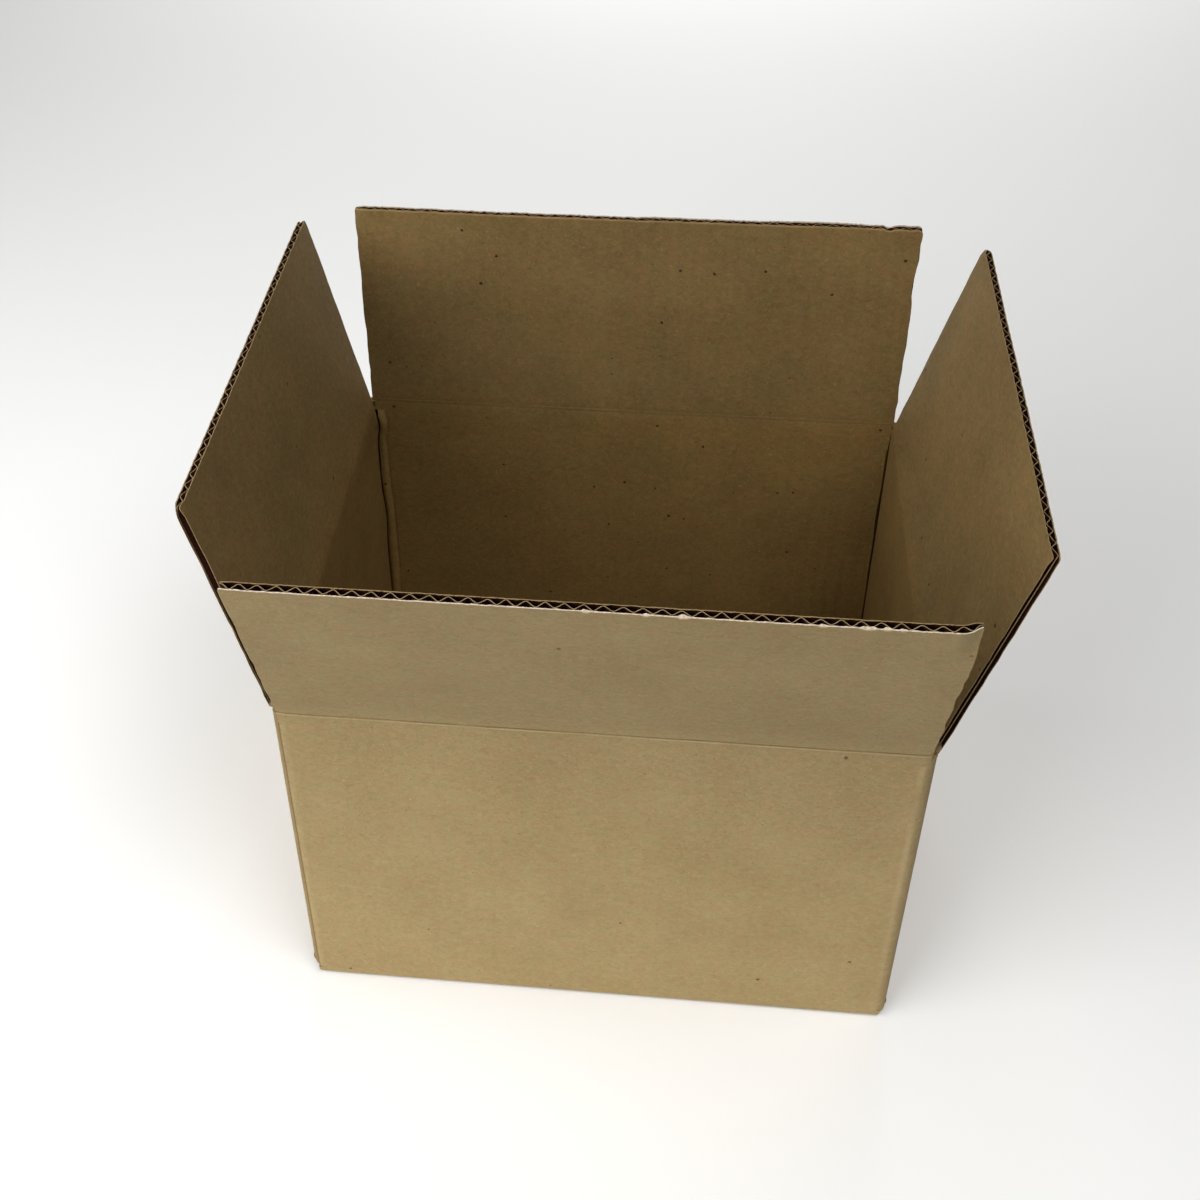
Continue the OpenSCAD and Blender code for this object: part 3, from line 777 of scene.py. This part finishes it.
def flute_sheet(work, side, reach, v, path, lift, warp, edge, seed):
    """The wavy sheet: straight legs and tight tips, each flute a little different."""
    depth, height, slope = path
    far = v.max()
    inset = 0.5
    u = np.linspace(-reach + inset, reach - inset, round(2 * reach / flute_pitch * 14))
    rows = np.array([40, 80, 105, 116, 120, 122.4, 123.2, 124]) / 124 * far
    rows = np.concatenate([[pocket_v + 0.3], rows])
    U, V = np.meshgrid(u, rows, indexing="ij")
    d, h, a = (np.interp(rows, v, part)[None, :] for part in (depth, height, slope))
    uneven = 0.25 * wander(U, 11, seed + 7) + 0.15 * wander(V + U, 37, seed + 8)
    place = U - flute_shift[side] + uneven
    turn = 2 * np.pi * place / flute_pitch
    shape = (np.cos(turn) + 0.05 * np.cos(3 * turn)) / 1.05
    squash = 1 - 0.12 * ease(far - 3, far, V) * (1 + wander(U, 5, seed + 6))
    swing = flute_swing * squash - corner_pinch(U, V, reach, far)
    swing = swing - cut_burr * ease(far - 1.4, far, V)
    swing = swing * (0.75 + 0.25 * ease(pocket_v, 14, V))
    middle = board_t / 2 + swing * shape + warp(U, V)
    steep = swing * 2 * np.pi / flute_pitch * np.sin(turn)
    burr = 1 + 0.35 * ease(far - 1.6, far - 0.2, V)
    half_t = medium_t / 2 * np.sqrt(1 + steep ** 2) * burr
    cut = (edge(U) * 0.5 - 0.12 + 0.12 * wander(U, 1.7, seed + 4)) * ease(far - 6, far, V)
    flat = (panel_middle[side] + U, V)

    def at(thick):
        """Points at a distance inwards from the outside face."""
        return on_box(side, U, d + np.cos(a) * thick - np.sin(a) * cut,
                      lift + h + np.sin(a) * thick + np.cos(a) * cut)

    work.fluting(work.lay(at(middle - half_t), flat + (1.5,)),
                 work.lay(at(middle + half_t), flat + (2.5,)))


def corner_pinch(u, v, reach, far):
    """How far each liner is squeezed in at a flap's corners, from knocks."""
    knock = np.where(u > 0, 0.9, 0.3)
    return knock * ease(reach - 5, reach, np.abs(u)) * ease(far - 6, far, v)


def torn_tone(u, v, nicks, far):
    """How much pale torn fibre stands out round the nicks of the free edge."""
    tone = 0.0 * u
    for place, width, _, torn in nicks:
        tone = tone + torn * np.exp(-((u - place) / width) ** 4)
    return np.clip(tone * ease(far - 1.6, far - 0.2, v), 0, 1)


def cut_edge(seed, nicks=()):
    """The free edge's height at u: fine raggedness, and a few nicks, each with its place,
    width, depth and how much pale fibre it tore up."""
    def at(u):
        ragged = 0.16 * wander(u, 2.1, seed) + 0.10 * wander(u, 0.85, seed + 1)
        ragged = ragged + 0.25 * wander(u, 60, seed + 2)
        for place, width, depth, _ in nicks:
            ragged = ragged - depth * np.exp(-((u - place) / width) ** 4)
        return ragged
    return at


def side_edge(seed, reach, tears=(), foot=0.0):
    """How far out the two side edges stand, height by height. A tear has its sign along
    the panel, height, width and depth, and the foot of the far edge may step in."""
    def at(v, u):
        right = 0.35 * wander(v, 9, seed) + 0.28 * wander(v, 5, seed + 1)
        left = 0.35 * wander(v, 9, seed + 2) + 0.28 * wander(v, 5, seed + 3)
        out = np.where(u > 0, right, left)
        for sign, place, width, depth in tears:
            out = out - depth * np.exp(-((v - place) / width) ** 2) * (np.sign(u) == sign)
        return reach + out * ease(4, 12, v) - np.where(u > 0, foot, 0) * (1 - ease(0.5, 4, v))
    return at


def score_line(u, side):
    """Where the score's valley runs: it wavers a little over the flutes."""
    return 0.25 + 0.14 * wander(u, 26, 71 + quarter_turns[side]) + 0.05 * wander(u, 4, 75)


def scored(u, v, side):
    """The outside of a top crease: a valley in the score, and a ridge just below it."""
    line = v - score_line(u, side)
    valley = 0.34 * np.exp(-(line / 0.36) ** 2) - 0.2 * np.exp(-((line + 0.9) / 0.5) ** 2)
    joint = joint_crush(u) * (1 - ease(-2, 9, v)) if side == "front" else 0.0
    return valley * ease(-seam_drop, -4, v) + joint


def score_shade_and_highlight(u, v, side):
    """The valley gets painted shade, and the ridge below it a painted highlight."""
    line = v - score_line(u, side)
    strength = 0.75 + 0.35 * wander(u, 15, 81 + quarter_turns[side])
    return strength * (0.4 * np.exp(-((line + 0.9) / 0.4) ** 2) - 0.75 * np.exp(-(line / 0.4) ** 2))


def inside_crease_shade_and_rub(u, v, side, far):
    """The inside of a crease: a faint painted highlight over a faint painted shade line. The
    back flap's inside liner is rubbed pale along its free edge too."""
    faint = {"long": 0.3, "end": 0.05}[kinds[side]] * (0.8 + 0.3 * wander(u, 17, 91))
    free_edge = (side == "back") * 0.8 * (0.8 + 0.3 * wander(u, 6, 92))
    free_edge = free_edge * ease(far - 1.1, far - 0.4, v)
    return free_edge + faint * (np.exp(-((v - 0.9) / 0.4) ** 2)
                                - 0.8 * np.exp(-((v + 0.4) / 0.45) ** 2))


def crushed(v, side):
    """The inside of a top crease, which the scoring wheel pressed in."""
    deep = {"front": 0.8, "back": 0.14, "left": 0.12, "right": 0.12}[side]
    groove = np.exp(-(v / 2.0) ** 2) + 0.3 * np.exp(-(v / 6.0) ** 2)
    return deep * groove * ease(-seam_drop, -4, v)


def build_top_flap(side, reach, warp, seed, nicks, ends):
    """A top flap with the score that joins it to its panel, as one piece."""
    score_spread = 1.8
    kind = kinds[side]
    v = np.unique(np.concatenate([np.linspace(-seam_drop, -4, 4), np.linspace(-4, -2, 5),
                                  np.linspace(-2, 2, 27), np.linspace(2, 4, 5),
                                  np.linspace(4, pocket_v, 3), np.linspace(pocket_v, 112, 21),
                                  [116, 119, 121, 122.3, 123, 123.5, flap_d]]))
    path = bent_path(v, rest_lean(side), score_spread)
    work = Boardwork()
    flap_sheets(work, side, reach, v, path, crease_z[kind], warp, nicks, seed, ends)
    piece = work.piece(side + "_flap_board", board_papers)
    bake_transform(piece)
    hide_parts(side + "_flap")


def bottom_flap(side):
    """A bottom flap, turned in under its panel by a right angle and pressed flat."""
    kind = kinds[side]
    reach = long_reach if kind == "long" else end_reach
    quarter = fold_r * math.pi / 2
    straight = foot_z[kind] - base_z[kind] - fold_r
    flat_end = flap_d - fold_r + quarter + straight
    v = np.unique(np.concatenate([[0, straight], straight + quarter * np.linspace(0, 1, 9),
                                  straight + quarter + np.array([3.0, 6.0]),
                                  np.linspace(22, open_strip_v, 8), [118, 121, flat_end]]))
    turn = np.clip((v - straight) / quarter, 0, 1) * math.pi / 2
    depth = fold_r - fold_r * np.cos(turn) + np.clip(v - straight - quarter, 0, None)
    height = foot_z[kind] - np.minimum(v, straight) - fold_r * np.sin(turn)
    bottom_sheets(walls, side, reach, v, (depth, height, turn))


def bottom_sheets(work, side, reach, v, path):
    """The bottom flap's liners with the open flutes at its free edge."""
    depth, height, turn = path
    count = round(2 * reach / (flute_pitch / 4))
    u = np.linspace(-reach, reach, count + 1)
    U, V = np.meshgrid(u, v, indexing="ij")
    slope = turn[None, :]
    edge = cut_edge(70 + quarter_turns[side])(U) * ease(v.max() - 5, v.max(), V)
    open_from = int(np.searchsorted(v, open_strip_v))
    # The front one's corner beside the glued joint is clipped a little
    clipped = 1.8 * ease(9 - reach, -reach, U) * ease(0, 0.7, slope) * (side == "front")

    def at(thick):
        """Points at a distance inwards from the outside face."""
        d = depth[None, :] + np.cos(slope) * thick + np.sin(slope) * edge
        h = height[None, :] + np.sin(slope) * thick - np.cos(slope) * edge
        return on_box(side, U + clipped, d, h)

    flat = (panel_middle[side] + U, -V)
    outer = work.lay(at(0.0), flat + (0.0,))
    inner = work.lay(at(board_t), flat + (board_t,))
    backs = [work.lay(at(thick)[:, open_from:], tuple(f[:, open_from:] for f in flat) + (thick,))
             for thick in (liner_t, board_t - liner_t)]
    close_liners(work, outer, inner, *backs, CUT, SHADED_FLUTE)
    # Flutes in the open strip along the free edge
    fu = np.linspace(-reach + 2, reach - 2, round(2 * reach / flute_pitch * 10))
    rows = np.linspace(v[open_from] + 0.3, v.max() - 0.2, 3)
    FU, FV = np.meshgrid(fu, rows, indexing="ij")
    d, h, t = (np.interp(rows, v, part)[None, :] for part in (depth, height, turn))
    wave = board_t / 2 + flute_swing * np.cos(2 * np.pi * FU / flute_pitch)
    steep = np.pi * (board_t - 2 * liner_t) / flute_pitch * np.sin(2 * np.pi * FU / flute_pitch)
    thick = medium_t / 2 * np.sqrt(1 + steep ** 2)
    work.fluting(*[work.lay(on_box(side, FU, d + np.cos(t) * face, h + np.sin(t) * face),
                            (panel_middle[side] + FU, -FV, deep))
                   for face, deep in ((wave - thick, 1.5), (wave + thick, 2.5))])


for side in quarter_turns:
    bottom_flap(side)
body = walls.piece("folded_blank", board_papers)
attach(body, "carton")
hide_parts("carton_body")


def front_warp(U, V):
    """The front flap's top right corner was knocked in and curls back."""
    curl = 2.6 * ease(long_reach - 9, long_reach + 1, U) * ease(96, 122, V)
    return curl - 0.35 * ease(10, 120, V) * (0.5 + 0.5 * wander(U, 90, 91))


def back_warp(U, V):
    """The back flap bows out a little."""
    return -0.3 * ease(10, 120, V) * (0.5 + 0.5 * wander(U, 80, 92))


def end_warp(U, V):
    """The end flaps bow in a little."""
    return 0.5 * ease(10, 120, V) * (0.5 + 0.5 * wander(U, 70, 93))


build_top_flap("front", long_reach, front_warp, seed=21,
               nicks=[(-3, 1.4, 0.12, 0.8), (20.4, 1.2, 0.1, 0.7), (35, 2.0, 0.2, 1.0),
                      (88.4, 1.5, 0.12, 0.8), (105.5, 2.6, 0.2, 1.0), (112.5, 1.4, 0.12, 0.8),
                      (118.5, 1.0, 0.1, 0.6)],
               ends=side_edge(51, long_reach, [(1, 82, 2.0, 0.9), (1, 64, 5.0, 0.7),
                                               (1, 40, 6.0, 0.5)]))
build_top_flap("back", long_reach, back_warp, seed=22,
               nicks=[(-132, 2.0, 0.9, 0.8), (-2, 2.0, 0.3, 0.3)],
               ends=side_edge(52, long_reach, [(-1, 88, 9.0, 1.3)]))
build_top_flap("left", end_reach, end_warp, seed=23, nicks=[],
               ends=side_edge(53, end_reach, foot=end_reach - tab_stop))
build_top_flap("right", end_reach, end_warp, seed=24, nicks=[], ends=side_edge(54, end_reach))

# Tape. One strip of tan polypropylene film, 48 mm wide, rolled on by hand along the seam
# of the bottom flaps and 55 mm up both end panels, and torn off over a toothed blade.
tape_w = 48.0
tape_lap = 55.0
tooth_w, tooth_h = 1.6, 0.45
film_t, film_lift, wrinkle_h = 0.06, 0.07, 0.05


def tape_path():
    """Where the film lies in millimetres: along the base and up both ends."""
    along = [(x, 0.12) for x in np.linspace(0, long_reach - 1.5, 60)]
    along += [(long_reach - 0.4, 0.2), (long_reach + 0.5, 0.75), (half_l - 1.2, 3.4),
              (half_l - 0.35, 5.6)]
    along += [(None, z) for z in np.linspace(foot_z["end"], tape_lap, 34)]
    return along


def build_tape():
    """The film with its small wrinkles, and the teeth of the blade at both ends."""
    across = np.linspace(-tape_w / 2, tape_w / 2, 121)
    half = tape_path()
    rows, way = [], []
    for sign, order in ((-1, list(reversed(half))), (1, half[1:])):
        panel = "left" if sign < 0 else "right"
        for x, z in order:
            height = z + 0.0 * across
            if x is None:
                u = across if sign > 0 else -across
                wrinkle = wrinkle_h * (1 + wander(across, 9, 101) * wander(height, 13, 102))
                lift = film_lift + wrinkle
                out = half_l - panel_bow(panel, u, height) + lift
                last = ease(tape_lap - 2.5, tape_lap, z)
                height = height + last * tooth_h * np.abs((across / tooth_w) % 1 * 2 - 1)
            else:
                out = x + 0.0 * across
                slanting, lengthwise = wander(across + 0.4 * x, 6, 103), wander(out, 19, 104)
                wrinkle = wrinkle_h * (1 + slanting * lengthwise)
                height = height - np.minimum(wrinkle, z - 0.02) * (z < 0.5)
            rows.append(np.stack([sign * out, across, height], -1))
            way.append(sign * ((x or half_l) + (z if x is None else 0)))
    work = Boardwork()
    points = np.stack(rows)
    flat = (np.array(way)[:, None], across[None, :], 0.0)
    work.cover(work.lay(points, flat), 0)
    film = work.piece("tape_film", [tape_finish()])
    solid = film.modifiers.new("film_thickness", "SOLIDIFY")
    solid.thickness = film_t / 1000
    solid.offset = 0
    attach(film, "carton")
    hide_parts("bottom_tape")


def tape_finish():
    """Polypropylene film over brown acrylic glue: a soft gloss, long faint streaks from
    the roll, and small pale bubbles where it missed the paper."""
    streak_mm, bubble_mm = (90.0, 5.0, 90.0), 4
    film, tree = new_material("tan_polypropylene_tape")
    at = add(tree, "Attribute", {"attribute_name": "blank"}, {})
    roll_way = add(tree, "Mapping", {"vector_type": "TEXTURE"},
                   {"Vector": (at, "Vector"), "Scale": streak_mm})
    streaks = add(tree, "TexNoise", {},
                  {"Vector": (roll_way, "Vector"), "Scale": 1.0, "Detail": 3.0})
    glue = add(tree, "ValToRGB", {}, {"Fac": (streaks, "Fac")},
               ((0.3, "#9e7743"), (0.7, "#a37b47")))
    # Trapped air: bubbles 1 to 3 mm across, where a noise of 4 mm peaks
    air = add(tree, "TexNoise", {},
              {"Vector": (at, "Vector"), "Scale": 1 / bubble_mm, "Detail": 2.0})
    bubbles = add(tree, "MapRange", {"interpolation_type": "SMOOTHSTEP"},
                  {"Value": (air, "Fac"), "From Min": 0.66, "From Max": 0.74})
    tone = add(tree, "Mix", {"data_type": "RGBA"},
               {0: (bubbles, 0), 6: (glue, "Color"), 7: linear("#ab8450")})
    sheen = add(tree, "MapRange", {}, {"Value": (streaks, "Fac"), "To Min": 0.3, "To Max": 0.36})
    bump = add(tree, "Bump", {}, {"Height": (air, "Fac"), "Strength": 0.25, "Distance": 0.0003})
    face = add(tree, "BsdfPrincipled", {},
               {"Base Color": (tone, 2), "Roughness": (sheen, 0), "IOR": 1.49,
                "Normal": (bump, "Normal")})
    add(tree, "OutputMaterial", {}, {"Surface": (face, "BSDF")})
    return film


build_tape()
